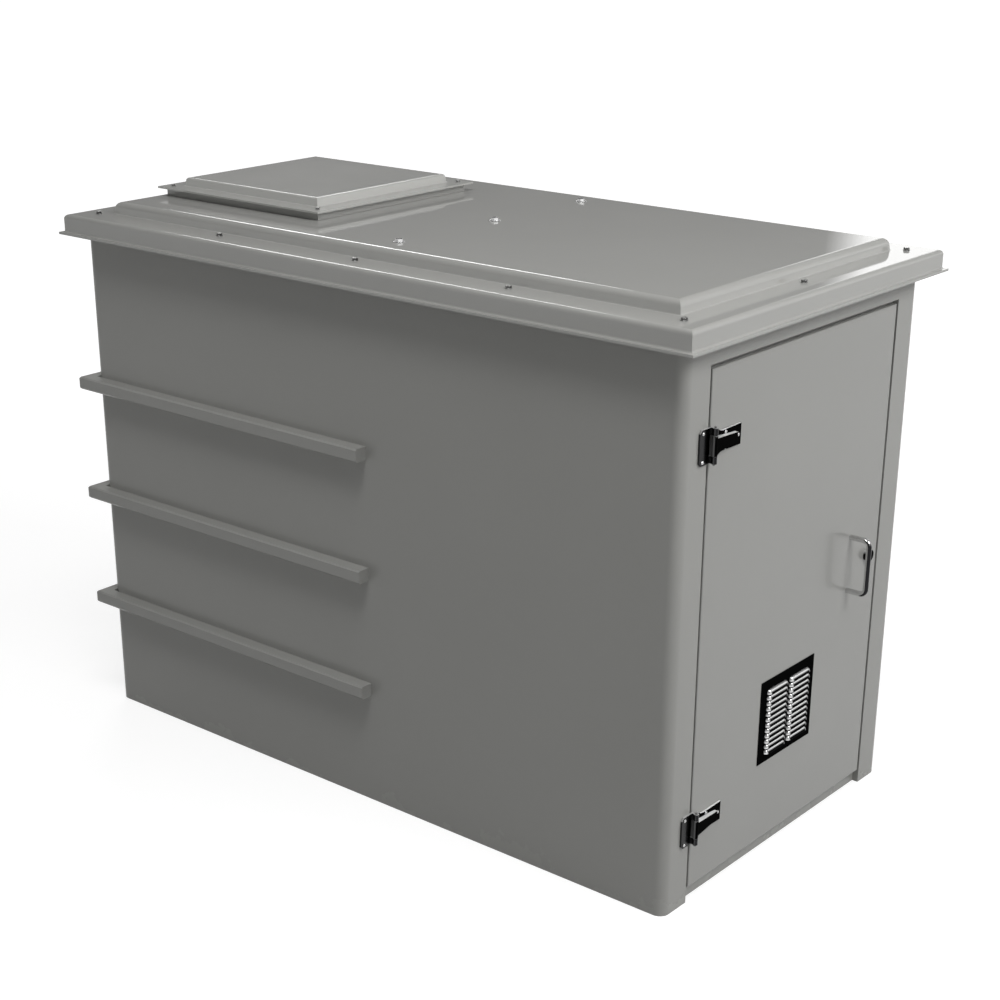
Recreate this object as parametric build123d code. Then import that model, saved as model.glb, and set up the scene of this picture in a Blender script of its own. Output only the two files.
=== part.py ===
from build123d import *
from math import hypot
import os

# Glass-fibre equipment kiosk. Origin at the centre of the base, +X towards the door, +Z up, millimetres.

# Body shell
body_length = 2000
body_width = 1040
body_height = 1450
body_corner_radius = 27
wall = 6
top_flange = 60
base_flange = 80
base_flange_thickness = 8
anchor_spacing = 1600
anchor_hole_radius = 7

# Door frame, moulded into the +X end
post_width = 99
lintel_drop = 98
rebate_depth = 17
rebate_width = 40
sill_height = 80

# Door
door_side_gap = 8
door_top_gap = 10.5
door_bottom = 40
door_skin = 5
door_rim_depth = 13
door_rim_width = 20
door_ring_inset = 80
door_ring_wall = 5
door_bays = 3
door_edge_radius = 3
door_seal_inset = 4
door_seal_width = 12
door_seal_clearance = 0.3

# Stiffener bands
band_size = 36
band_front_end = 48
band_edge_chamfer = 4
band_lowest = 311
band_pitch = 327

# Roof moulding, insets counted inwards from the wall's outer face
roof_shell = 6
roof_seal_thickness = 4
roof_seal_inset = 3
roof_seal_width = 16
lip_overhang = 52
skirt_overhang = 40
skirt_height = 54
lip_fillet = 5
skirt_radius = 12
plateau_foot_inset = 58
plateau_top_inset = 62
plateau_rise = 32
plateau_fillet = 4
plateau_radius = 18

# Cross beam under the raised middle
beam_x = 37
beam_width = 50
beam_height = 36
beam_wall = 4
beam_end_gap = 12
beam_bolt_end_distance = 68
beam_bolt_radius = 5
beam_bolt_flats = 17
beam_bolt_head = 8
beam_bolt_length = 16
thread_clearance = 0.05

# Roof hatch
hatch_end_distance = 385
kerb_size = 590
kerb_wall = 5
kerb_rise = 17
kerb_flange = 35
hatch_seal_thickness = 3
hatch_seal_width = 9
lid_overhang = 18
lid_shell = 5
lid_pan_inset = 39
lid_pan_draft = 3
lid_height = 28
lid_fillet = 4
lid_radius = 8

# Hinges
lower_hinge_rise = 166
upper_hinge_drop = 172
hinge_standoff = 15
hinge_height = 83
hinge_middle_knuckle = 48
hinge_knuckle_radius = 6.5
hinge_web = 3.5
hinge_pin_radius = 3
hinge_pin_clearance = 0.05
hinge_pin_overhang = 4
hinge_clearance = 0.5
hinge_leaf_thickness = 5
hinge_leaf_reach = 44.5
hinge_leaf_chamfer = 7
strap_reach = 121.5
strap_tip_height = 50
strap_root_height = 46
flare_height = 64
flare_flat_reach = 25.5
flare_reach = 48.5
ridge_reach = 95.5
ridge_root_height = 36
ridge_root_depth = 20
ridge_tip_height = 22
ridge_tip_depth = 14

# Louvre vent
vent_width = 249
vent_height = 227
vent_plate = 1.5
vent_rise = 219.5
vent_cutout_margin = 18
louvre_rows = 12
louvre_pitch = 15
louvre_length = 90
louvre_column_gap = 14
louvre_projection = 9
louvre_height = 11
louvre_lip = 3
louvre_sheet = 1.2
louvre_bottom_margin = 24

# Pull handle and lock
handle_rise = 649.5
handle_to_lock = 91
handle_spacing = 146
handle_reach = 55
handle_radius = 7
handle_bend = 16
lock_edge_distance = 53
lock_head_radius = 15
lock_head_depth = 14
lock_barrel_radius = 11
lock_barrel_length = 30
lock_nut_flats = 28
lock_nut_height = 6
lock_plug_radius = 8
lock_plug_clearance = 0.05
lock_slot_width = 2
lock_slot_length = 9
lock_slot_depth = 6
lock_tail_radius = 5
lock_cam_thickness = 4
lock_cam_reach = 42
lock_cam_width = 16
hole_clearance = 0.3

overrun = 10

# Places that follow from the sizes above
end_x = body_length / 2
side_y = body_width / 2
opening_half = side_y - post_width
rebate_x = end_x - rebate_depth
clear_half = opening_half - rebate_width
lintel_height = body_height - lintel_drop
door_half = opening_half - door_side_gap
door_top = lintel_height - door_top_gap
door_back = end_x - door_rim_depth
door_inner = end_x - door_skin
ledge_z = body_height + roof_seal_thickness + roof_shell
lip_z = ledge_z - skirt_height
plateau_z = ledge_z + plateau_rise
kerb_z = plateau_z + kerb_rise
lid_z = kerb_z + hatch_seal_thickness
hatch_x = hatch_end_distance - end_x
lid_size = kerb_size + 2 * lid_overhang
lid_pan_size = kerb_size - 2 * lid_pan_inset
beam_half = side_y - plateau_top_inset - roof_shell - beam_end_gap
hinge_x = end_x + hinge_standoff
hinge_y = -door_half - hinge_clearance
hinge_heights = {"lower": door_bottom + lower_hinge_rise, "upper": door_top - upper_hinge_drop}
lock_y = door_half - lock_edge_distance
handle_y = lock_y - handle_to_lock
handle_centre_z = door_bottom + handle_rise
vent_centre_z = door_bottom + vent_rise + vent_height / 2


def block(x0, x1, y0, y1, z0, z1):
    centre = Pos((x0 + x1) / 2, (y0 + y1) / 2, (z0 + z1) / 2)
    return centre * Box(x1 - x0, y1 - y0, z1 - z0)


def slab(length, width, radius, z0, z1):
    outline = RectangleRounded(length, width, radius) if radius else Rectangle(length, width)
    return Pos(0, 0, z0) * extrude(outline, z1 - z0)


def upright(x, y, z0, z1, radius):
    return Pos(x, y, (z0 + z1) / 2) * Cylinder(radius, z1 - z0)


def along_x(y, z, x0, x1, radius):
    return Pos((x0 + x1) / 2, y, z) * Rot(0, 90, 0) * Cylinder(radius, x1 - x0)


def hex_prism(flats, height):
    return extrude(RegularPolygon(flats / 2, 6, major_radius=False), height)


# One section carried round a rectangle with mitred corners; section points are (outwards, height, radius)
def mitred_rim(half_x, half_y, section):
    points = [(half_x + outwards, z) for outwards, z, _ in section]
    radii = [radius for _, _, radius in section]
    face = Plane.XZ * make_face(FilletPolyline(*points, radius=radii, close=True))
    corners = [(half_x, 0), (half_x, half_y), (-half_x, half_y), (-half_x, -half_y), (half_x, -half_y)]
    return sweep(face, Polyline(*corners, close=True), transition=Transition.RIGHT)


def body_shell():
    shell = slab(body_length, body_width, body_corner_radius, 0, body_height)
    shell -= slab(
        body_length - 2 * wall,
        body_width - 2 * wall,
        body_corner_radius - wall,
        base_flange_thickness,
        body_height - wall,
    )
    middle = body_height / 2
    top_edge = 2 * (wall + top_flange)
    shell -= slab(body_length - top_edge, body_width - top_edge, 0, middle, body_height + overrun)
    base_edge = 2 * (wall + base_flange)
    shell -= slab(body_length - base_edge, body_width - base_edge, 0, -overrun, middle)
    frame_half = opening_half + wall
    shell += block(rebate_x - wall, end_x, -frame_half, frame_half, 0, lintel_height + wall)
    shell -= block(rebate_x, end_x + overrun, -opening_half, opening_half, -overrun, lintel_height)
    lintel_edge = lintel_height - rebate_width
    shell -= block(rebate_x - wall - overrun, end_x, -clear_half, clear_half, sill_height, lintel_edge)
    for x, y in anchor_places():
        shell -= upright(x, y, -overrun, base_flange_thickness + overrun, anchor_hole_radius)
    return shell


def anchor_places():
    y = side_y - wall - base_flange / 2
    return [(side * anchor_spacing / 2, across * y) for side in (-1, 1) for across in (-1, 1)]


def stiffener_band(bottom):
    outer_x = end_x + band_size
    outer_y = side_y + band_size
    side_bar = [(band_front_end, side_y), (-end_x, side_y), (-outer_x, outer_y), (band_front_end, outer_y)]
    end_bar = [(-end_x, side_y), (-outer_x, outer_y), (-outer_x, -outer_y), (-end_x, -side_y)]
    far_bar = extrude(make_face(Polyline(*side_bar, close=True)), band_size)
    rear_bar = extrude(make_face(Polyline(*end_bar, close=True)), band_size)
    far_bar = chamfer(far_bar.edges().filter_by(Axis.X).sort_by(Axis.Y)[-2:], band_edge_chamfer)
    rear_bar = chamfer(rear_bar.edges().filter_by(Axis.Y).sort_by(Axis.X)[:2], band_edge_chamfer)
    near_bar = mirror(far_bar, Plane.XZ)
    return Pos(0, 0, bottom) * Compound([near_bar, rear_bar, far_bar])


def roof_section(rim_inset):
    skirt_inside = skirt_overhang - roof_shell
    ledge_under = ledge_z - roof_shell
    plateau_under = plateau_z - roof_shell
    return [
        (lip_overhang, lip_z, 0),
        (lip_overhang, lip_z + roof_shell, 0),
        (skirt_overhang, lip_z + roof_shell, lip_fillet),
        (skirt_overhang, ledge_z, skirt_radius),
        (-plateau_foot_inset, ledge_z, plateau_fillet),
        (-plateau_top_inset, plateau_z, plateau_radius),
        (-rim_inset, plateau_z, 0),
        (-rim_inset, plateau_under, 0),
        (-plateau_top_inset - roof_shell, plateau_under, 0),
        (-plateau_foot_inset - roof_shell, ledge_under, 0),
        (skirt_inside, ledge_under, 0),
        (skirt_inside, lip_z, 0),
    ]


def roof_moulding():
    rim_inset = plateau_top_inset + 2 * plateau_radius
    roof = mitred_rim(end_x, side_y, roof_section(rim_inset))
    plate_length = body_length - 2 * rim_inset
    plate_width = body_width - 2 * rim_inset
    roof += slab(plate_length, plate_width, 0, plateau_z - roof_shell, plateau_z)
    hatch = Pos(hatch_x, 0, 0)
    inside = kerb_size - 2 * kerb_wall
    opening = inside - 2 * kerb_flange
    roof += hatch * slab(kerb_size, kerb_size, 0, plateau_z - roof_shell, kerb_z)
    roof -= hatch * slab(inside, inside, 0, ledge_z - roof_shell, kerb_z - kerb_wall)
    roof -= hatch * slab(opening, opening, 0, ledge_z, kerb_z + overrun)
    for x, y, z in beam_bolt_places():
        roof -= upright(x, y, z - overrun, z + overrun, beam_bolt_radius + hole_clearance)
    return roof


def roof_seal():
    outer = 2 * roof_seal_inset
    inner = outer + 2 * roof_seal_width
    top = body_height + roof_seal_thickness
    radius = body_corner_radius - roof_seal_inset
    ring = slab(body_length - outer, body_width - outer, radius, body_height, top)
    return ring - slab(body_length - inner, body_width - inner, 0, body_height, top)


def beam_bolt_places():
    spacing = beam_half - beam_bolt_end_distance
    return [(beam_x, row * spacing, plateau_z) for row in (-1, 0, 1)]


def roof_cross_beam():
    top = plateau_z - roof_shell
    left = beam_x - beam_width / 2
    right = beam_x + beam_width / 2
    beam = block(left, right, -beam_half, beam_half, top - beam_height, top)
    under = top - beam_wall
    beam -= block(left + beam_wall, right - beam_wall, -beam_half, beam_half, top - beam_height, under)
    for x, y, z in beam_bolt_places():
        beam -= upright(x, y, under - overrun, z, beam_bolt_radius + thread_clearance)
    return beam


def roof_beam_bolts():
    bolt = hex_prism(beam_bolt_flats, beam_bolt_head) + upright(0, 0, -beam_bolt_length, 0, beam_bolt_radius)
    return Compound([Pos(*place) * bolt for place in beam_bolt_places()])


def hatch_seal():
    outer = kerb_size
    inner = outer - 2 * hatch_seal_width
    ring = slab(outer, outer, 0, kerb_z, lid_z) - slab(inner, inner, 0, kerb_z, lid_z)
    return Pos(hatch_x, 0, 0) * ring


def lid_section(rim_inset):
    pan_inset = (lid_size - lid_pan_size) / 2
    foot_inset = pan_inset - lid_pan_draft
    top = lid_z + lid_height
    return [
        (0, lid_z, 0),
        (0, lid_z + lid_shell, 0),
        (-foot_inset, lid_z + lid_shell, lid_fillet),
        (-pan_inset, top, lid_radius),
        (-rim_inset, top, 0),
        (-rim_inset, top - lid_shell, 0),
        (-pan_inset - lid_shell, top - lid_shell, 0),
        (-foot_inset - lid_shell, lid_z, 0),
    ]


def hatch_lid():
    half = lid_size / 2
    rim_inset = (lid_size - lid_pan_size) / 2 + 2 * lid_radius
    plate_size = lid_size - 2 * rim_inset
    lid = mitred_rim(half, half, lid_section(rim_inset))
    lid += slab(plate_size, plate_size, 0, lid_z + lid_height - lid_shell, lid_z + lid_height)
    return Pos(hatch_x, 0, 0) * lid


def door_panel():
    door = block(door_back, end_x, -door_half, door_half, door_bottom, door_top)
    door = fillet(door.faces().sort_by(Axis.X)[-1].edges(), door_edge_radius)
    rim_half = door_half - door_rim_width
    rim_low = door_bottom + door_rim_width
    rim_high = door_top - door_rim_width
    door -= block(door_back, door_inner, -rim_half, rim_half, rim_low, rim_high)
    ring_half = door_half - door_ring_inset
    ring_low = door_bottom + door_ring_inset
    ring_high = door_top - door_ring_inset
    ring = block(door_back, door_inner, -ring_half, ring_half, ring_low, ring_high)
    pocket_half = ring_half - door_ring_wall
    bay_pitch = (ring_high - ring_low - door_ring_wall) / door_bays
    for bay in range(door_bays):
        low = ring_low + door_ring_wall + bay * bay_pitch
        high = low + bay_pitch - door_ring_wall
        ring -= block(door_back, door_inner, -pocket_half, pocket_half, low, high)
    door += ring
    cutout_y = vent_width / 2 - vent_cutout_margin
    cutout_z = vent_height / 2 - vent_cutout_margin
    door -= block(door_inner, end_x, -cutout_y, cutout_y, vent_centre_z - cutout_z, vent_centre_z + cutout_z)
    lock_hole = lock_barrel_radius + hole_clearance
    return door - along_x(lock_y, handle_centre_z, door_inner - overrun, end_x + overrun, lock_hole)


def door_seal():
    half = door_half - door_seal_inset
    low = door_bottom + door_seal_inset
    high = door_top - door_seal_inset
    front = door_back - door_seal_clearance
    ring = block(rebate_x, front, -half, half, low, high)
    inner = half - door_seal_width
    return ring - block(rebate_x, front, -inner, inner, low + door_seal_width, high - door_seal_width)


def pull_handle():
    low = handle_centre_z - handle_spacing / 2
    high = handle_centre_z + handle_spacing / 2
    bar_x = end_x + handle_reach
    route = [(end_x, low), (bar_x, low), (bar_x, high), (end_x, high)]
    path = FilletPolyline(*[(x, handle_y, z) for x, z in route], radius=handle_bend)
    start = Plane(origin=(end_x, handle_y, low), z_dir=(1, 0, 0))
    return sweep(start * Circle(handle_radius), path)


def lock_body():
    z = handle_centre_z
    front = end_x + lock_head_depth
    back = end_x - lock_barrel_length
    body = along_x(lock_y, z, end_x, front, lock_head_radius)
    body += along_x(lock_y, z, back, end_x, lock_barrel_radius)
    return body - along_x(lock_y, z, back - overrun, front + overrun, lock_plug_radius + lock_plug_clearance)


def lock_nut():
    nut = hex_prism(lock_nut_flats, lock_nut_height)
    nut -= upright(0, 0, -overrun, lock_nut_height + overrun, lock_barrel_radius + thread_clearance)
    return Pos(door_inner, lock_y, handle_centre_z) * Rot(0, -90, 0) * nut


def lock_plug():
    z = handle_centre_z
    front = end_x + lock_head_depth
    back = end_x - lock_barrel_length
    plug = along_x(lock_y, z, back, front, lock_plug_radius)
    plug += along_x(lock_y, z, back - lock_cam_thickness, back, lock_tail_radius)
    key_slot = Box(2 * lock_slot_depth, lock_slot_width, lock_slot_length)
    return plug - Pos(front, lock_y, z) * key_slot


def lock_cam():
    back = end_x - lock_barrel_length
    half = lock_cam_width / 2
    z = handle_centre_z
    cam = block(back - lock_cam_thickness, back, lock_y - half, lock_y + half, z - lock_cam_reach, z)
    cam += along_x(lock_y, z, back - lock_cam_thickness, back, half)
    return cam - along_x(lock_y, z, back - overrun, back, lock_tail_radius + lock_plug_clearance)


def hinge_pin_hole():
    reach = hinge_height / 2 + overrun
    return upright(hinge_x, hinge_y, -reach, reach, hinge_pin_radius + hinge_pin_clearance)


# A length of barrel on a web that stands on one side of the axis
def hinge_knuckle(half, side):
    web_y = sorted((hinge_y, hinge_y + side * hinge_web))
    web = block(end_x, hinge_x, *web_y, -half, half)
    return web + upright(hinge_x, hinge_y, -half, half, hinge_knuckle_radius)


def hinge_post_leaf(height):
    half = hinge_height / 2
    plate = block(end_x, end_x + hinge_leaf_thickness, hinge_y - hinge_leaf_reach, hinge_y, -half, half)
    plate = chamfer(plate.edges().filter_by(Axis.X).sort_by(Axis.Y)[:2], hinge_leaf_chamfer)
    gap = hinge_middle_knuckle / 2 + hinge_clearance
    notch = hinge_knuckle_radius + hinge_clearance
    leaf = plate + hinge_knuckle(half, -1)
    leaf -= block(end_x, hinge_x + notch, hinge_y - notch, hinge_y + notch, -gap, gap)
    return Pos(0, 0, height) * (leaf - hinge_pin_hole())


# The strap's plate, flared beside the barrel with a hollow curve on each edge
def strap_plate():
    root = strap_root_height / 2
    tip = strap_tip_height / 2
    flare = flare_height / 2
    neck = root + (tip - root) * flare_reach / strap_reach
    flare_y = hinge_y + hinge_knuckle_radius + hinge_clearance
    flat_y = hinge_y + flare_flat_reach
    neck_y = hinge_y + flare_reach
    tip_y = hinge_y + strap_reach
    edges = [
        Polyline((neck_y, -neck), (tip_y, -tip), (tip_y, tip), (neck_y, neck)),
        TangentArc((neck_y, neck), (flat_y, flare), tangent=(-1, 0)),
        Polyline((flat_y, flare), (flare_y, flare), (flare_y, root), (hinge_y, root), (hinge_y, -root),
                 (flare_y, -root), (flare_y, -flare), (flat_y, -flare)),
        TangentArc((neck_y, -neck), (flat_y, -flare), tangent=(-1, 0)),
    ]
    return Pos(end_x, 0, 0) * extrude(Plane.YZ * make_face(edges), hinge_leaf_thickness)


def ridge_section(reach, depth, height):
    return Pos(end_x + depth / 2, hinge_y + reach, 0) * (Plane.XZ * Rectangle(depth, height))


def hinge_strap(height):
    root = ridge_section(0, ridge_root_depth, ridge_root_height)
    tip = ridge_section(ridge_reach, ridge_tip_depth, ridge_tip_height)
    ridge = loft([root, tip], ruled=True)
    knuckle = hinge_knuckle(hinge_middle_knuckle / 2 - hinge_clearance, 1)
    return Pos(0, 0, height) * (strap_plate() + ridge + knuckle - hinge_pin_hole())


def hinge_pin(height):
    reach = hinge_height / 2 + hinge_pin_overhang
    return upright(hinge_x, hinge_y, height - reach, height + reach, hinge_pin_radius)


# A pressed hood, open below, with closed ends; its section starts at the plate's front face
def louvre_hood(section, length):
    return extrude(Plane.XZ * make_face(Polyline(*section, close=True)), length / 2, both=True)


def louvre_vent():
    half_y = vent_width / 2
    half_z = vent_height / 2
    front = vent_plate + louvre_projection
    inside = front - louvre_sheet
    slope = (louvre_height - louvre_lip) / louvre_projection
    drop = louvre_sheet * hypot(louvre_projection, louvre_height - louvre_lip) / louvre_projection
    under = louvre_height - drop
    outer = [(vent_plate, 0), (front, 0), (front, louvre_lip), (vent_plate, louvre_height)]
    under_lip = under - slope * (inside - vent_plate)
    inner = [(0, 0), (inside, 0), (inside, under_lip), (vent_plate, under), (0, under)]
    hood = louvre_hood(outer, louvre_length)
    hollow = louvre_hood(inner, louvre_length - 2 * louvre_sheet)
    column_y = (louvre_length + louvre_column_gap) / 2
    low = louvre_bottom_margin - half_z
    rows = [low + row * louvre_pitch for row in range(louvre_rows)]
    places = [Pos(0, side * column_y, z) for z in rows for side in (-1, 1)]
    vent = block(0, vent_plate, -half_y, half_y, -half_z, half_z)
    vent += [place * hood for place in places]
    vent -= [place * hollow for place in places]
    return Pos(end_x, 0, vent_centre_z) * vent


os.makedirs("parts", exist_ok=True)

nodes = {
    "body_shell": body_shell(),
    "roof_moulding": roof_moulding(),
    "roof_seal": roof_seal(),
    "roof_cross_beam": roof_cross_beam(),
    "roof_beam_bolts": roof_beam_bolts(),
    "hatch_seal": hatch_seal(),
    "hatch_lid": hatch_lid(),
    "door_seal": door_seal(),
    "door_panel": door_panel(),
    "louvre_vent": louvre_vent(),
    "pull_handle": pull_handle(),
    "lock_body": lock_body(),
    "lock_nut": lock_nut(),
    "lock_plug": lock_plug(),
    "lock_cam": lock_cam(),
}
for row, level in enumerate(("lower", "middle", "upper")):
    nodes[f"stiffener_band_{level}"] = stiffener_band(band_lowest + row * band_pitch)
for level, height in hinge_heights.items():
    nodes[f"{level}_hinge_post_leaf"] = hinge_post_leaf(height)
    nodes[f"{level}_hinge_strap"] = hinge_strap(height)
    nodes[f"{level}_hinge_pin"] = hinge_pin(height)

for name, shape in nodes.items():
    export_step(shape, f"parts/{name}.step")
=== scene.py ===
import math

import bmesh
import bpy
from mathutils import Matrix, Vector


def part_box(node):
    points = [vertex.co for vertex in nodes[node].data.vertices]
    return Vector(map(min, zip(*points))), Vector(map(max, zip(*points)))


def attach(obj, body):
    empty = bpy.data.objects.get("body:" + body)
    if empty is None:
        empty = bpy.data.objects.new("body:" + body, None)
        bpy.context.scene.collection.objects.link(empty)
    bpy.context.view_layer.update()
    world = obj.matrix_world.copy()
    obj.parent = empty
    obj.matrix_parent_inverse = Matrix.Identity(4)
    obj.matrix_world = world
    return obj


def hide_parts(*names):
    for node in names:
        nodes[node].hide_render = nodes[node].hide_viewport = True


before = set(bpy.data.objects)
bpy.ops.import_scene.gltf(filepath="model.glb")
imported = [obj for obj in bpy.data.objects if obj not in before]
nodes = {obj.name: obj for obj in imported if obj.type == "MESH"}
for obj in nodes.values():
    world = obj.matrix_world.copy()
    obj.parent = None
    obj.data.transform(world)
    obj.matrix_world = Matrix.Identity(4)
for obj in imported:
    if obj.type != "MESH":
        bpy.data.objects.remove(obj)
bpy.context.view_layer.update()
print("frame loaded:", len(nodes), "nodes")

# camera, solved from the photograph's vanishing points (metres, image taken as 1000 x 1000)
camera = {
    "place": (3.199, -3.8206, 2.4084),
    "right": (0.7644, 0.6447, 0.0),
    "down": (0.2459, -0.2915, -0.9244),
    "focalPixels": 1886.18,
    "centrePixel": (477.11, 619.67),
    "imagePixels": 1000.0,
    "sensor": 36.0,  # millimetres
    "farthest": 100.0,
}


def addCamera(c):
    data = bpy.data.cameras.new("photoCamera")
    data.sensor_width = c["sensor"]
    data.lens = c["focalPixels"] * c["sensor"] / c["imagePixels"]
    data.shift_x = 0.5 - c["centrePixel"][0] / c["imagePixels"]
    data.shift_y = c["centrePixel"][1] / c["imagePixels"] - 0.5
    data.clip_end = c["farthest"]
    right = Vector(c["right"]).normalized()
    up = -Vector(c["down"]).normalized()
    back = right.cross(up)
    matrix = Matrix((right, up, back)).transposed().to_4x4()
    matrix.translation = Vector(c["place"])
    obj = bpy.data.objects.new("photoCamera", data)
    obj.matrix_world = matrix
    bpy.context.scene.collection.objects.link(obj)
    bpy.context.scene.camera = obj


addCamera(camera)
print("camera placed")


# small helpers for node trees: a socket is linked, anything else is set as the value
def feed(tree, socket, value):
    if isinstance(value, bpy.types.NodeSocket):
        tree.links.new(value, socket)
    elif socket.type == "RGBA":
        isGrey = isinstance(value, (int, float))
        socket.default_value = (value, value, value, 1) if isGrey else (*value, 1)
    else:
        socket.default_value = value


def addNode(tree, kind, **values):
    node = tree.nodes.new(kind)
    for key, value in values.items():
        if hasattr(node, key):
            setattr(node, key, value)
        else:
            feed(tree, node.inputs[key], value)
    return node


def mathNode(tree, operation, *values, clamp=False):
    node = addNode(tree, "ShaderNodeMath", operation=operation, use_clamp=clamp)
    for socket, value in zip(node.inputs, values):
        feed(tree, socket, value)
    return node.outputs[0]


def vectorNode(tree, operation, *values):
    node = addNode(tree, "ShaderNodeVectorMath", operation=operation)
    for socket, value in zip(node.inputs, values):
        feed(tree, socket, value)
    return node.outputs["Value" if operation in ("DOT_PRODUCT", "LENGTH") else "Vector"]


def splitVector(tree, vector):
    return addNode(tree, "ShaderNodeSeparateXYZ", Vector=vector).outputs


def ownCoordinates(tree, kind):
    return addNode(tree, "ShaderNodeTexCoord").outputs[kind]


def noiseNode(tree, place, **values):
    return addNode(tree, "ShaderNodeTexNoise", Vector=place, **values).outputs["Fac"]


def smoothRamp(tree, value, start, end, low=0.0, high=1.0):
    limits = {"From Min": start, "From Max": end, "To Min": low, "To Max": high}
    ramp = addNode(tree, "ShaderNodeMapRange", interpolation_type="SMOOTHSTEP", Value=value, **limits)
    return ramp.outputs["Result"]


def mixColour(tree, factor, first, second, blend="MIX"):
    node = addNode(tree, "ShaderNodeMix", data_type="RGBA", blend_type=blend)
    for index, value in ((0, factor), (6, first), (7, second)):  # the colour sockets are 6 and 7
        feed(tree, node.inputs[index], value)
    return node.outputs[2]


def newGroup(name, inputs, outputs):
    tree = bpy.data.node_groups.new(name, "ShaderNodeTree")
    for label, kind, default in inputs:
        socket = tree.interface.new_socket(label, in_out="INPUT", socket_type=kind)
        socket.default_value = default
    for label, kind in outputs:
        tree.interface.new_socket(label, in_out="OUTPUT", socket_type=kind)
    return tree, tree.nodes.new("NodeGroupInput").outputs, tree.nodes.new("NodeGroupOutput").inputs


def placeGroup(tree, group, **values):
    node = tree.nodes.new("ShaderNodeGroup")
    node.node_tree = group
    for key, value in values.items():
        node.inputs[key].default_value = value
    return node.outputs


# soft noise over the surface: slow mottling, fine speckle and a height for bump
surfaceGrain = {
    "broad": {"Detail": 4.0, "Roughness": 0.55},
    "fine": {"Detail": 3.0, "Roughness": 0.6},
    "wave": {"Detail": 1.0, "Scale": 26.0},
    "fineHeight": 0.35,  # beside the wave's height of 1
}


def makeGrainGroup(c):
    tree, take, give = newGroup(
        "surfaceGrain",
        [("Broad", "NodeSocketFloat", 3.0), ("Fine", "NodeSocketFloat", 220.0)],
        [("Mottle", "NodeSocketFloat"), ("Speckle", "NodeSocketFloat"), ("Height", "NodeSocketFloat")],
    )
    place = ownCoordinates(tree, "Object")
    broad = noiseNode(tree, place, Scale=take["Broad"], **c["broad"])
    fine = noiseNode(tree, place, Scale=take["Fine"], **c["fine"])
    wave = noiseNode(tree, place, **c["wave"])
    feed(tree, give["Mottle"], broad)
    feed(tree, give["Speckle"], fine)
    feed(tree, give["Height"], mathNode(tree, "MULTIPLY_ADD", fine, c["fineHeight"], wave))
    return tree


# rounds sharp edges in the shading and gives a mask along them
softEdge = {"samples": 4, "maskGain": 4.0}


def makeEdgeGroup(c):
    tree, take, give = newGroup(
        "softEdge",
        [("Radius", "NodeSocketFloat", 0.003)],
        [("Normal", "NodeSocketVector"), ("Edge", "NodeSocketFloat")],
    )
    rounded = addNode(tree, "ShaderNodeBevel", samples=c["samples"], Radius=take["Radius"]).outputs[0]
    flat = addNode(tree, "ShaderNodeNewGeometry").outputs["Normal"]
    bend = mathNode(tree, "SUBTRACT", 1.0, vectorNode(tree, "DOT_PRODUCT", rounded, flat))
    feed(tree, give["Normal"], rounded)
    feed(tree, give["Edge"], mathNode(tree, "MULTIPLY", bend, c["maskGain"], clamp=True))
    return tree


# dust that gathers low on the walls and on top faces
settledDust = {"noise": {"Scale": 9.0, "Detail": 6.0, "Roughness": 0.65}, "topPower": 4.0}


def makeDustGroup(c):
    tree, take, give = newGroup(
        "settledDust",
        [("Splash Height", "NodeSocketFloat", 0.25), ("Top Share", "NodeSocketFloat", 0.3)],
        [("Dust", "NodeSocketFloat")],
    )
    place = ownCoordinates(tree, "Object")
    noise = noiseNode(tree, place, **c["noise"])
    rise = mathNode(tree, "DIVIDE", splitVector(tree, place)["Z"], take["Splash Height"])
    low = mathNode(tree, "SUBTRACT", 1.0, rise, clamp=True)
    upward = mathNode(tree, "MAXIMUM", splitVector(tree, ownCoordinates(tree, "Normal"))["Z"], 0.0)
    top = mathNode(tree, "MULTIPLY", mathNode(tree, "POWER", upward, c["topPower"]), take["Top Share"])
    feed(tree, give["Dust"], mathNode(tree, "MULTIPLY", mathNode(tree, "MAXIMUM", low, top), noise))
    return tree


# masks for the way a surface faces, in the piece's own frame: up, out of the door end, and to either side;
# the metals use them to paint highlights, reflections and shade
facingLimits = {"Up": (0.2, 0.8), "Out": (0.0, 0.12), "Side": (0.05, 0.45)}


def makeFacingGroup(c):
    inputs = []
    for name, (start, end) in c.items():
        inputs.append((f"{name} Start", "NodeSocketFloat", start))
        inputs.append((f"{name} End", "NodeSocketFloat", end))
    tree, take, give = newGroup("facing", inputs, [(name, "NodeSocketFloat") for name in c])
    normal = splitVector(tree, ownCoordinates(tree, "Normal"))
    amounts = {"Up": normal["Z"], "Out": normal["X"], "Side": mathNode(tree, "ABSOLUTE", normal["Y"])}
    for name, amount in amounts.items():
        feed(tree, give[name], smoothRamp(tree, amount, take[f"{name} Start"], take[f"{name} End"]))
    return tree


# bare strand mat on the faces inside a box, in the piece's own frame: a mask and a strand pattern
strandMat = {
    "turns": ((0.4, 0.9, 0.2), (1.3, 0.2, 1.1), (0.7, 2.1, 1.9), (2.4, 1.2, 0.5)),  # one for each lay
    "stretch": (240.0, 22.0, 240.0),
    "noise": {"Scale": 1.0, "Detail": 1.0},
    "limits": (0.52, 0.72),
}


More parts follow.
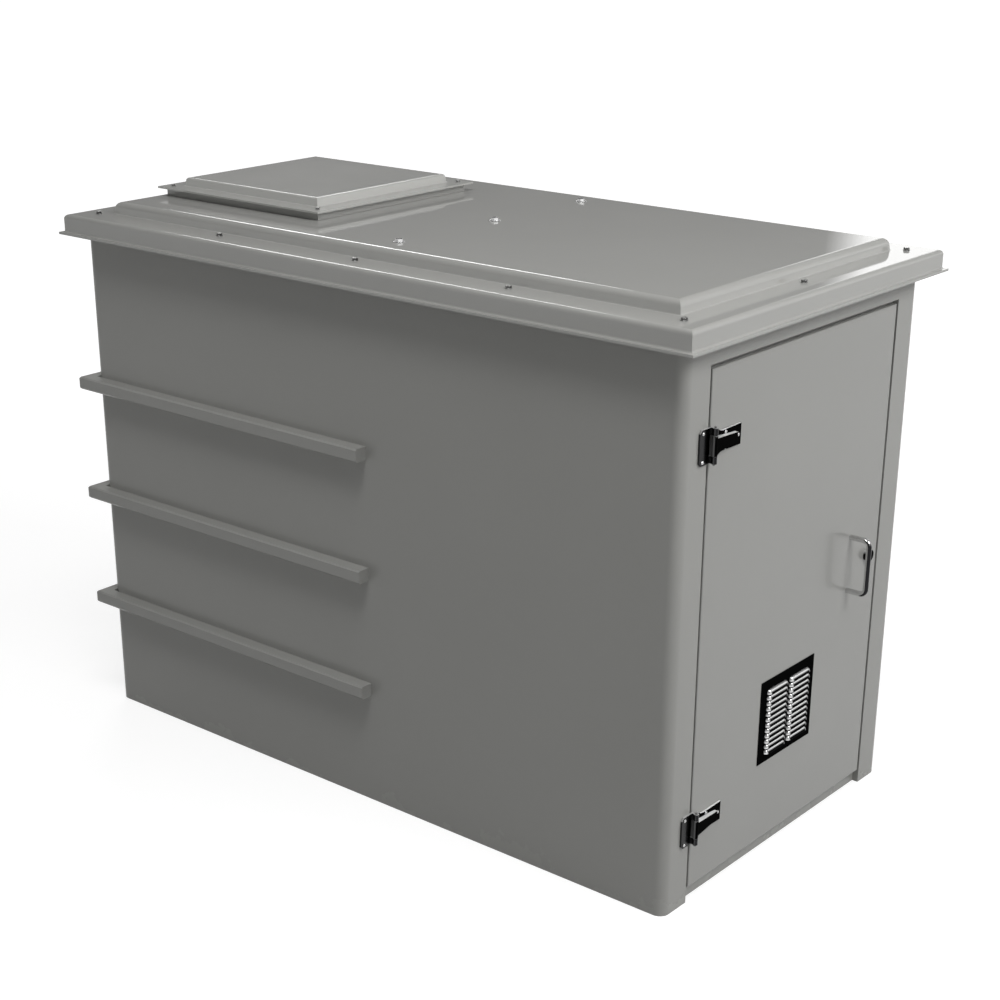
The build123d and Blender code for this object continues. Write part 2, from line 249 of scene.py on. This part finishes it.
def makeMatGroup(c):
    tree, take, give = newGroup(
        "strandMat",
        [("Low", "NodeSocketVector", (0.0, 0.0, 0.0)), ("High", "NodeSocketVector", (0.0, 0.0, 0.0))],
        [("Inside", "NodeSocketFloat"), ("Strands", "NodeSocketFloat")],
    )
    place = ownCoordinates(tree, "Object")
    fromLow = vectorNode(tree, "SUBTRACT", place, take["Low"])
    fromHigh = vectorNode(tree, "SUBTRACT", take["High"], place)
    depths = splitVector(tree, vectorNode(tree, "MINIMUM", fromLow, fromHigh))
    depth = mathNode(tree, "MINIMUM", mathNode(tree, "MINIMUM", depths["X"], depths["Y"]), depths["Z"])
    feed(tree, give["Inside"], mathNode(tree, "GREATER_THAN", depth, 0.0))
    strands = 0.0
    for turn in c["turns"]:
        lay = addNode(tree, "ShaderNodeMapping", Vector=place, Rotation=turn, Scale=c["stretch"]).outputs[0]
        strands = mathNode(tree, "MAXIMUM", strands, noiseNode(tree, lay, **c["noise"]))
    feed(tree, give["Strands"], smoothRamp(tree, strands, *c["limits"]))
    return tree


grainGroup = makeGrainGroup(surfaceGrain)
edgeGroup = makeEdgeGroup(softEdge)
dustGroup = makeDustGroup(settledDust)
facingGroup = makeFacingGroup(facingLimits)
matGroup = makeMatGroup(strandMat)
print("shader groups made")


def newMaterial(name):
    material = bpy.data.materials.new(name)
    material.use_nodes = True
    tree = material.node_tree
    return material, tree, tree.nodes["Principled BSDF"]


def addBump(tree, shader, height, bump, normal=None):
    node = addNode(tree, "ShaderNodeBump", Height=height, **bump)
    if normal:
        feed(tree, node.inputs["Normal"], normal)
    feed(tree, shader.inputs["Normal"], node.outputs[0])


# grey gelcoat outside, bare strand mat on the faces that look into the cabinet
gelcoat = {
    "colour": (0.285, 0.285, 0.272),
    "pale": (0.305, 0.305, 0.292),
    "dust": (0.34, 0.33, 0.31),
    "resin": (0.24, 0.25, 0.215),
    "strand": (0.40, 0.41, 0.37),
    "grain": {"Broad": 2.4, "Fine": 340.0},
    "settled": {"Splash Height": 0.16, "Top Share": 0.12},
    "dustCover": 0.12,
    "mottleRough": 0.08,  # what mottling, dust and bare mat add to the roughness
    "dustRough": 0.12,
    "matRough": 0.3,
    "strandHeight": 8.0,
    "bump": {"Strength": 0.008, "Distance": 0.001},
}
# each part's lightening factor scales the shared colour; above 1 it is painted light, lighter copies of the
# one gelcoat for the wall, roof and lid; the bare mat lies in the node's box, drawn in at its low and high
# corner
gelcoats = {
    "wallGelcoat": {
        "specular": 0.20, "roughness": 0.22, "paintedLightening": 1.10, "node": "body_shell",
        "lowInset": (0.003, 0.003, 0.004), "highInset": (0.02, 0.003, 0.003),
    },
    "doorGelcoat": {
        "specular": 0.40, "roughness": 0.21, "paintedLightening": 1.0, "node": "door_panel",
        "lowInset": (-0.007, 0.002, 0.002), "highInset": (0.0025, 0.002, 0.0025),
    },
    "roofGelcoat": {
        "specular": 0.50, "roughness": 0.045, "paintedLightening": 1.15, "node": "roof_moulding",
        "lowInset": (0.1235, 0.1235, -0.006), "highInset": (0.1235, 0.1235, 0.0225),
    },
    "lidGelcoat": {
        "specular": 0.50, "roughness": 0.06, "paintedLightening": 1.34, "node": "roof_moulding",
        "lowInset": (0.1235, 0.1235, -0.006), "highInset": (0.1235, 0.1235, 0.0225),
    },
}


def makeGelcoat(name):
    c = {**gelcoat, **gelcoats[name]}
    material, tree, shader = newMaterial(name)
    low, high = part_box(c["node"])
    inner = {"Low": low + Vector(c["lowInset"]), "High": high - Vector(c["highInset"])}
    grain = placeGroup(tree, grainGroup, **c["grain"])
    dust = placeGroup(tree, dustGroup, **c["settled"])["Dust"]
    mat = placeGroup(tree, matGroup, **inner)
    inside = mat["Inside"]
    # painted light: the shared greys made lighter part by part
    greys = ([channel * c["paintedLightening"] for channel in c[key]] for key in ("colour", "pale"))
    coat = mixColour(tree, grain["Mottle"], *greys)
    coat = mixColour(tree, mathNode(tree, "MULTIPLY", dust, c["dustCover"]), coat, c["dust"])
    bare = mixColour(tree, mat["Strands"], c["resin"], c["strand"])
    feed(tree, shader.inputs["Base Color"], mixColour(tree, inside, coat, bare))
    rough = c["roughness"] - c["mottleRough"] / 2
    for mask, share in ((grain["Mottle"], "mottleRough"), (dust, "dustRough"), (inside, "matRough")):
        rough = mathNode(tree, "MULTIPLY_ADD", mask, c[share], rough)
    feed(tree, shader.inputs["Roughness"], rough)
    shader.inputs["Specular IOR Level"].default_value = c["specular"]
    strands = mathNode(tree, "MULTIPLY", inside, mat["Strands"])
    height = mathNode(tree, "MULTIPLY_ADD", strands, c["strandHeight"], grain["Height"])
    addBump(tree, shader, height, c["bump"])
    return material


# each metal's colour is painted light: it goes from its low to its high colour where it faces up, or to the
# side by the share in side, and these two colours paint the reflections of the lamps and of the dark
# surroundings as highlight and shade;
# bare is the metallic share at low and at high, which follows the same painted split, and the rest is
# non-metallic
metal = {
    "side": (0.05, 0.45, 0.0),  # start, end, share
    "inner": 0.0,
    "grain": {"Broad": 30.0, "Fine": 900.0},
    "edgeRadius": 0.0008,
    "fade": (0.3, 0.82),  # swing and least of the mottling in the colour
    "speckleRough": 0.12,
    "edgeRough": 0.08,
    "bump": {"Strength": 0.03, "Distance": 0.0002},
}
metals = {
    "polishedHood": {"low": 0.004, "high": 0.90, "roughness": 0.16, "up": (0.36, 0.70),
                     "side": (0.05, 0.45, 0.8), "bare": (0.0, 0.85), "specular": 0.002},
    "hingeLeaf": {"low": (0.018, 0.018, 0.019), "high": 0.75, "roughness": 0.16, "up": (0.35, 0.90),
                  "side": (0.75, 1.0, 0.05), "bare": (1.0, 0.6), "specular": 0.02},
    "hingeStrap": {"low": 0.002, "high": 0.88, "roughness": 0.16, "up": (0.30, 0.85),
                   "side": (0.80, 1.0, 0.22), "bare": (0.0, 0.25), "specular": 0.001},
    "screwSteel": {"low": 0.45, "high": 0.85, "roughness": 0.16, "up": (0.05, 0.60),
                   "bare": (1.0, 0.8), "specular": 0.03},
    "handleSteel": {"low": (0.018, 0.018, 0.019), "high": 0.76, "roughness": 0.12, "up": (0.20, 0.65),
                    "inner": 0.95, "bare": (1.0, 1.0), "specular": 0.03},
    "zincSteel": {"low": (0.16, 0.16, 0.158), "high": (0.42, 0.42, 0.41), "roughness": 0.28, "up": (0.2, 0.9),
                  "bare": (1.0, 1.0), "specular": 0.03},
    # painted shade on the bolt tops and painted highlight on their sides
    "roofBoltSteel": {"low": 0.80, "high": 0.05, "roughness": 0.18, "up": (0.5, 0.9),
                      "bare": (0.25, 1.0), "specular": 0.3},
    "blackPlate": {"low": 0.0015, "high": 0.03, "roughness": 0.12, "up": (0.2, 0.9),
                   "bare": (0.0, 0.5), "specular": 0.001},
    "lockMetal": {"low": 0.004, "high": 0.60, "roughness": 0.2, "up": (0.3, 0.9),
                  "bare": (0.0, 0.6), "specular": 0.002},
}


def makeMetal(name):
    c = {**metal, **metals[name]}
    material, tree, shader = newMaterial(name)
    grain = placeGroup(tree, grainGroup, **c["grain"])
    edge = placeGroup(tree, edgeGroup, Radius=c["edgeRadius"])
    upStart, upEnd = c["up"]
    sideStart, sideEnd, sideShare = c["side"]
    limits = {"Up Start": upStart, "Up End": upEnd, "Side Start": sideStart, "Side End": sideEnd}
    facing = placeGroup(tree, facingGroup, **limits)
    paintedLight = facing["Up"]
    if sideShare:
        paintedLight = mathNode(tree, "MAXIMUM", paintedLight, mathNode(tree, "MULTIPLY", facing["Side"], sideShare))
    if c["inner"]:  # faces turned away from the outside get a painted reflection of the pale panel behind them
        away = mathNode(tree, "SUBTRACT", 1.0, facing["Out"])
        paintedLight = mathNode(tree, "MAXIMUM", paintedLight, mathNode(tree, "MULTIPLY", away, c["inner"]))
    # painted light: the low and high colours are split by the way the face turns
    colour = mixColour(tree, paintedLight, c["low"], c["high"])
    fade = mathNode(tree, "MULTIPLY_ADD", grain["Mottle"], *c["fade"])
    feed(tree, shader.inputs["Base Color"], mixColour(tree, 1.0, colour, fade, "MULTIPLY"))
    rough = c["roughness"] - c["speckleRough"] / 2
    for mask, share in ((grain["Speckle"], "speckleRough"), (edge["Edge"], "edgeRough")):
        rough = mathNode(tree, "MULTIPLY_ADD", mask, c[share], rough)
    feed(tree, shader.inputs["Roughness"], rough)
    bareLow, bareHigh = c["bare"]
    if bareLow == bareHigh:
        shader.inputs["Metallic"].default_value = bareLow
    else:
        bare = mathNode(tree, "MULTIPLY_ADD", paintedLight, bareHigh - bareLow, bareLow)
        feed(tree, shader.inputs["Metallic"], bare)
    shader.inputs["Specular IOR Level"].default_value = c["specular"]
    addBump(tree, shader, grain["Height"], c["bump"], edge["Normal"])
    return material


rubber = {
    "dark": (0.018, 0.018, 0.018),
    "pale": (0.035, 0.035, 0.034),
    "grain": {"Broad": 40.0, "Fine": 700.0},
    "rough": (0.2, 0.65),  # swing and least
    "bump": {"Strength": 0.2, "Distance": 0.0004},
}


def makeRubber(c):
    material, tree, shader = newMaterial("sealRubber")
    grain = placeGroup(tree, grainGroup, **c["grain"])
    feed(tree, shader.inputs["Base Color"], mixColour(tree, grain["Mottle"], c["dark"], c["pale"]))
    feed(tree, shader.inputs["Roughness"], mathNode(tree, "MULTIPLY_ADD", grain["Speckle"], *c["rough"]))
    addBump(tree, shader, grain["Speckle"], c["bump"])
    return material


finishes = {name: makeGelcoat(name) for name in gelcoats}
finishes.update({name: makeMetal(name) for name in metals})
finishes["sealRubber"] = makeRubber(rubber)

# a node takes the first finish whose key is in its name
dress = {
    "body_shell": "wallGelcoat", "stiffener": "wallGelcoat", "roof_moulding": "roofGelcoat",
    "hatch_lid": "lidGelcoat", "door_panel": "doorGelcoat", "seal": "sealRubber",
    "hinge_pin": "zincSteel", "post_leaf": "hingeLeaf", "hinge_strap": "hingeStrap",
    "louvre": "blackPlate", "pull_handle": "handleSteel",
    "lock_body": "lockMetal", "lock_plug": "lockMetal", "lock_": "zincSteel",
    "beam_bolts": "roofBoltSteel", "roof_": "zincSteel",
}


def dressNodes(c):
    for name, obj in nodes.items():
        finish = next(c[key] for key in c if key in name)
        obj.data.materials.clear()
        obj.data.materials.append(finishes[finish])


dressNodes(dress)
print("materials on the frame's nodes")


def finishPiece(name, mesh, finish, body, smooth=True):
    data = bpy.data.meshes.new(name)
    mesh.to_mesh(data)
    mesh.free()
    for polygon in data.polygons:
        polygon.use_smooth = smooth
    data.materials.append(finishes[finish])
    obj = bpy.data.objects.new(name, data)
    bpy.context.scene.collection.objects.link(obj)
    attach(obj, body)
    return obj


def addSheet(obj, thickness):
    solid = obj.modifiers.new("sheet", "SOLIDIFY")
    solid.thickness = thickness
    solid.offset = -1


# a shape turned about +Z: outline is (radius, height) from the bottom up, or round a closed ring
def addTurned(mesh, outline, place, steps=32, flats=0, ring=False):
    rings = []
    for radius, height in outline:
        points = []
        for i in range(steps):
            angle = 2 * math.pi * i / steps
            reach = radius
            if flats:
                turn = (angle + math.pi / 6) % (math.pi / 3) - math.pi / 6
                reach = min(radius, flats / 2 / math.cos(turn))
            spot = Vector((reach * math.cos(angle), reach * math.sin(angle), height))
            points.append(mesh.verts.new(place @ spot))
        rings.append(points)
    if ring:
        rings.append(rings[0])
    for a, b in zip(rings, rings[1:]):
        for i in range(steps):
            j = (i + 1) % steps
            mesh.faces.new((a[i], a[j], b[j], b[i]))
    if not ring:
        mesh.faces.new(rings[-1])
        mesh.faces.new(list(reversed(rings[0])))


# hexagon bolts on washers, along the roof's ledge and at the lid's corners
hexBolt = {"washerWall": 0.7, "washerChamfer": 0.3, "headWall": 0.8, "topRadius": 0.47, "steps": 36}  # shares
ledgeBolts = {
    "inset": 0.028,  # from the wall's outer face
    "rise": 0.010,  # roof seal and roof shell above the wall
    "bays": 4,
    "bolt": {"flats": 0.013, "corner": 0.0075, "height": 0.0055, "washer": 0.0085, "washerThick": 0.0016},
}
lidBolts = {
    "inset": 0.031,
    "flange": 0.005,
    "bolt": {"flats": 0.010, "corner": 0.0058, "height": 0.004, "washer": 0.0065, "washerThick": 0.0012},
}


def addHexBolt(mesh, x, y, z, c):
    base = Matrix.Translation((x, y, z))
    washer = c["washer"]
    thick = c["washerThick"]
    chamfered = washer - thick * hexBolt["washerChamfer"]
    addTurned(mesh, [(washer, 0), (washer, thick * hexBolt["washerWall"]), (chamfered, thick)], base)
    corner = c["corner"]
    top = c["height"]
    outline = [(corner, 0), (corner, top * hexBolt["headWall"]), (c["flats"] * hexBolt["topRadius"], top)]
    head = base @ Matrix.Translation((0, 0, thick))
    addTurned(mesh, outline, head, hexBolt["steps"], c["flats"])


def makeLedgeBolts(c):
    mesh = bmesh.new()
    low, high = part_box("body_shell")
    endX = high[0] - c["inset"]
    endY = high[1] - c["inset"]
    bays = c["bays"]
    places = [(endX * (2 * i / bays - 1), side * endY) for i in range(bays + 1) for side in (-1, 1)]
    places += [(side * endX, 0.0) for side in (-1, 1)]
    for x, y in places:
        addHexBolt(mesh, x, y, high[2] + c["rise"], c["bolt"])
    return finishPiece("roofLedgeBolts", mesh, "zincSteel", "cabinet", smooth=False)


def makeLidBolts(c):
    mesh = bmesh.new()
    low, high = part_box("hatch_lid")
    for x in (low[0] + c["inset"], high[0] - c["inset"]):
        for y in (low[1] + c["inset"], high[1] - c["inset"]):
            addHexBolt(mesh, x, y, low[2] + c["flange"], c["bolt"])
    return finishPiece("hatchLidBolts", mesh, "zincSteel", "cabinet", smooth=False)


# flat collars round the three bolts across the roof
beamCollars = {
    "outline": [(0.0102, 0), (0.0145, 0), (0.0145, 0.0014), (0.0138, 0.002), (0.0102, 0.002)],
    "boltDepth": 0.016,
    "halfFlats": 0.0085,
    "steps": 40,
}


def makeBeamCollars(c):
    mesh = bmesh.new()
    low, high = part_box("roof_beam_bolts")
    x = (low[0] + high[0]) / 2
    reach = high[1] - c["halfFlats"]
    for y in (-reach, 0.0, reach):
        place = Matrix.Translation((x, y, low[2] + c["boltDepth"]))
        addTurned(mesh, c["outline"], place, c["steps"], ring=True)
    return finishPiece("roofBoltCollars", mesh, "screwSteel", "cabinet", smooth=False)


# pan heads on the hinge leaves and straps, placed across the door end and in height from the pin's middle
hingeScrews = {
    "head": [(0.0046, 0.0), (0.0046, 0.0009), (0.0041, 0.0019), (0.0030, 0.0027), (0.0014, 0.0031)],
    "plate": 0.005,
    "leaf": [(-0.0335, -0.033), (-0.0335, 0.033)],
    "strap": [(0.0565, -0.0185), (0.0565, 0.0185), (0.1085, 0.0)],
    "steps": 24,
}


def makeHingeScrews(c, part, body):
    mesh = bmesh.new()
    turn = Matrix.Rotation(math.pi / 2, 4, "Y")
    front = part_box("door_panel")[1][0] + c["plate"]
    for side in ("upper", "lower"):
        low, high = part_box(f"{side}_hinge_pin")
        middle = (low + high) / 2
        for across, rise in c[part]:
            place = Matrix.Translation((front, middle[1] + across, middle[2] + rise))
            addTurned(mesh, c["head"], place @ turn, c["steps"])
    return finishPiece(f"hinge{part.title()}Screws", mesh, "screwSteel", body, smooth=False)


makeLedgeBolts(ledgeBolts)
makeLidBolts(lidBolts)
makeBeamCollars(beamCollars)
makeHingeScrews(hingeScrews, "leaf", "cabinet")
makeHingeScrews(hingeScrews, "strap", "door")
print("small fixings made")

# louvre vent: black plate with pressed hoods, painted bright where they face up or sideways
vent = {
    "rows": 12, "pitch": 0.015, "length": 0.090, "columnGap": 0.014, "bottomMargin": 0.024,
    "projection": 0.009, "height": 0.011, "plate": 0.0015, "sheet": 0.001,
    "slotEnd": 0.004, "slotHeight": 0.009,
    "endShare": 0.2, "leastShare": 0.06,  # the rounded end of a hood, and its size at the tip
    "along": 28, "around": 8,
}


def hoodScale(share, endShare):
    edge = (1 - abs(share)) / endShare
    if edge >= 1:
        return 1.0
    return math.sqrt(max(0.0, 1 - (1 - edge) ** 2))


def addHood(mesh, c, front, y, z):
    rings = []
    for i in range(c["along"] + 1):
        share = math.sin((i / c["along"] - 0.5) * math.pi)
        size = max(c["leastShare"], hoodScale(share, c["endShare"]))
        ring = []
        for k in range(c["around"] + 1):
            angle = k / c["around"] * math.pi / 2
            out = front + c["projection"] * size * math.sin(angle)
            up = z + c["height"] * size * math.cos(angle)
            ring.append(mesh.verts.new((out, y + share * c["length"] / 2, up)))
        rings.append(ring)
    for a, b in zip(rings, rings[1:]):
        for k in range(c["around"]):
            mesh.faces.new((a[k], b[k], b[k + 1], a[k + 1]))


def makeHoods(c):
    low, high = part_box("louvre_vent")
    mesh = bmesh.new()
    for row in range(c["rows"]):
        for side in (-1, 1):
            y = side * (c["length"] + c["columnGap"]) / 2
            addHood(mesh, c, low[0] + c["plate"], y, low[2] + c["bottomMargin"] + row * c["pitch"])
    obj = finishPiece("louvreHoods", mesh, "polishedHood", "door")
    addSheet(obj, c["sheet"])
    return obj


# the plate is a grid of faces with a slot left open behind each hood
def makeVentPlate(c):
    low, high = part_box("louvre_vent")
    mesh = bmesh.new()
    halfGap = c["columnGap"] / 2
    slotSides = (halfGap + c["slotEnd"], halfGap + c["length"] - c["slotEnd"])
    slotFeet = [low[2] + c["bottomMargin"] + row * c["pitch"] for row in range(c["rows"])]
    ys = sorted([low[1], high[1]] + [side * edge for side in (-1, 1) for edge in slotSides])
    zs = sorted([low[2], high[2]] + slotFeet + [foot + c["slotHeight"] for foot in slotFeet])
    front = low[0] + c["plate"]
    grid = [[mesh.verts.new((front, y, z)) for z in zs] for y in ys]
    for j in range(len(ys) - 1):
        for k in range(len(zs) - 1):
            isSlot = j in (1, 3) and k % 2 == 1
            if not isSlot:
                mesh.faces.new((grid[j][k], grid[j + 1][k], grid[j + 1][k + 1], grid[j][k + 1]))
    obj = finishPiece("louvrePlate", mesh, "blackPlate", "door", smooth=False)
    addSheet(obj, c["plate"])
    return obj


ventHoods = makeHoods(vent)
ventPlate = makeVentPlate(vent)
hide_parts("louvre_vent")
print("louvre vent made")

# floor, lamps and a dim surround that turns white towards the horizon
studio = {
    "floorColour": (0.40, 0.40, 0.40),
    "floorRoughness": 0.9,
    "floorHalf": 40.0,
    "floorDrop": 0.0005,
    "glowReach": (2.0, 8.0),
    "floorGlow": (0.75, 1.0),
    "surround": 0.135,
    "horizon": 1.0,
    "horizonBand": (0.115, 0.15),  # sines of the heights between which the white fades
}
lamps = {
    "backBox": {"place": (-0.45, 4.9, 2.7), "aim": (-0.2, 0.0, 1.5), "size": (2.1, 1.5), "watts": 30,
                "layers": 10, "grow": 0.075, "gap": 0.02},
    "endBox": {"place": (3.6, 4.2, 3.1), "aim": (0.9, 0.0, 1.3), "size": (1.7, 3.2), "watts": 15},
    "endHigh": {"place": (4.4, 0.2, 4.4), "aim": (0.9, 0.0, 1.1), "size": (2.4, 2.0), "watts": 147},
    "frontSteep": {"place": (1.2, -2.1, 6.0), "aim": (0.3, -0.5, 0.8), "size": (2.6, 1.4), "watts": 146},
    "rearFill": {"place": (-4.2, 3.6, 4.2), "aim": (-0.6, 0.2, 0.8), "size": (2.4, 1.6), "watts": 80},
    "endLow": {"place": (6.0, -0.9, 2.3), "aim": (1.0, 0.0, 0.7), "size": (2.2, 2.0), "watts": 24},
}


# 1 for rays that show the background: straight, mirrored or through glass
def seenRays(tree):
    rays = addNode(tree, "ShaderNodeLightPath").outputs
    seen = mathNode(tree, "MAXIMUM", rays["Is Camera Ray"], rays["Is Glossy Ray"])
    return mathNode(tree, "MAXIMUM", seen, rays["Is Transmission Ray"])


def makeFloor(c):
    mesh = bmesh.new()
    bmesh.ops.create_grid(mesh, x_segments=1, y_segments=1, size=c["floorHalf"])
    data = bpy.data.meshes.new("studioFloor")
    mesh.to_mesh(data)
    mesh.free()
    obj = bpy.data.objects.new("studioFloor", data)
    obj.location.z = -c["floorDrop"]
    bpy.context.scene.collection.objects.link(obj)
    material, tree, shader = newMaterial("paleFloor")
    feed(tree, shader.inputs["Base Color"], c["floorColour"])
    feed(tree, shader.inputs["Roughness"], c["floorRoughness"])
    feed(tree, shader.inputs["Specular IOR Level"], 0.0)
    feed(tree, shader.inputs["Emission Color"], 1.0)
    distance = vectorNode(tree, "LENGTH", ownCoordinates(tree, "Object"))
    glow = smoothRamp(tree, distance, *c["glowReach"], *c["floorGlow"])
    feed(tree, shader.inputs["Emission Strength"], mathNode(tree, "MULTIPLY", seenRays(tree), glow))
    data.materials.append(material)


def makeSurround(c):
    world = bpy.data.worlds.new("studioSurround")
    world.use_nodes = True
    bpy.context.scene.world = world
    tree = world.node_tree
    back = tree.nodes["Background"]
    height = splitVector(tree, ownCoordinates(tree, "Generated"))["Z"]
    feed(tree, back.inputs["Color"], 1.0)
    glow = smoothRamp(tree, height, *c["horizonBand"], c["horizon"], c["surround"])
    feed(tree, back.inputs["Strength"], glow)


# a lamp with layers has a soft border: each layer is larger than the one before and a little further back
def addLamp(name, c):
    turn = (Vector(c["aim"]) - Vector(c["place"])).to_track_quat("-Z", "Y")
    layers = c.get("layers", 1)
    for i in range(layers):
        data = bpy.data.lights.new(name, "AREA")
        data.shape = "RECTANGLE"
        data.size, data.size_y = (side + i * c.get("grow", 0.0) for side in c["size"])
        data.energy = c["watts"] / layers
        obj = bpy.data.objects.new(name, data)
        obj.location = Vector(c["place"]) + turn @ Vector((0, 0, i * c.get("gap", 0.0)))
        obj.rotation_euler = turn.to_euler()
        bpy.context.scene.collection.objects.link(obj)


makeFloor(studio)
makeSurround(studio)
for lampName, lampValues in lamps.items():
    addLamp(lampName, lampValues)
bpy.context.scene.view_settings.view_transform = "Standard"
print("studio ready")
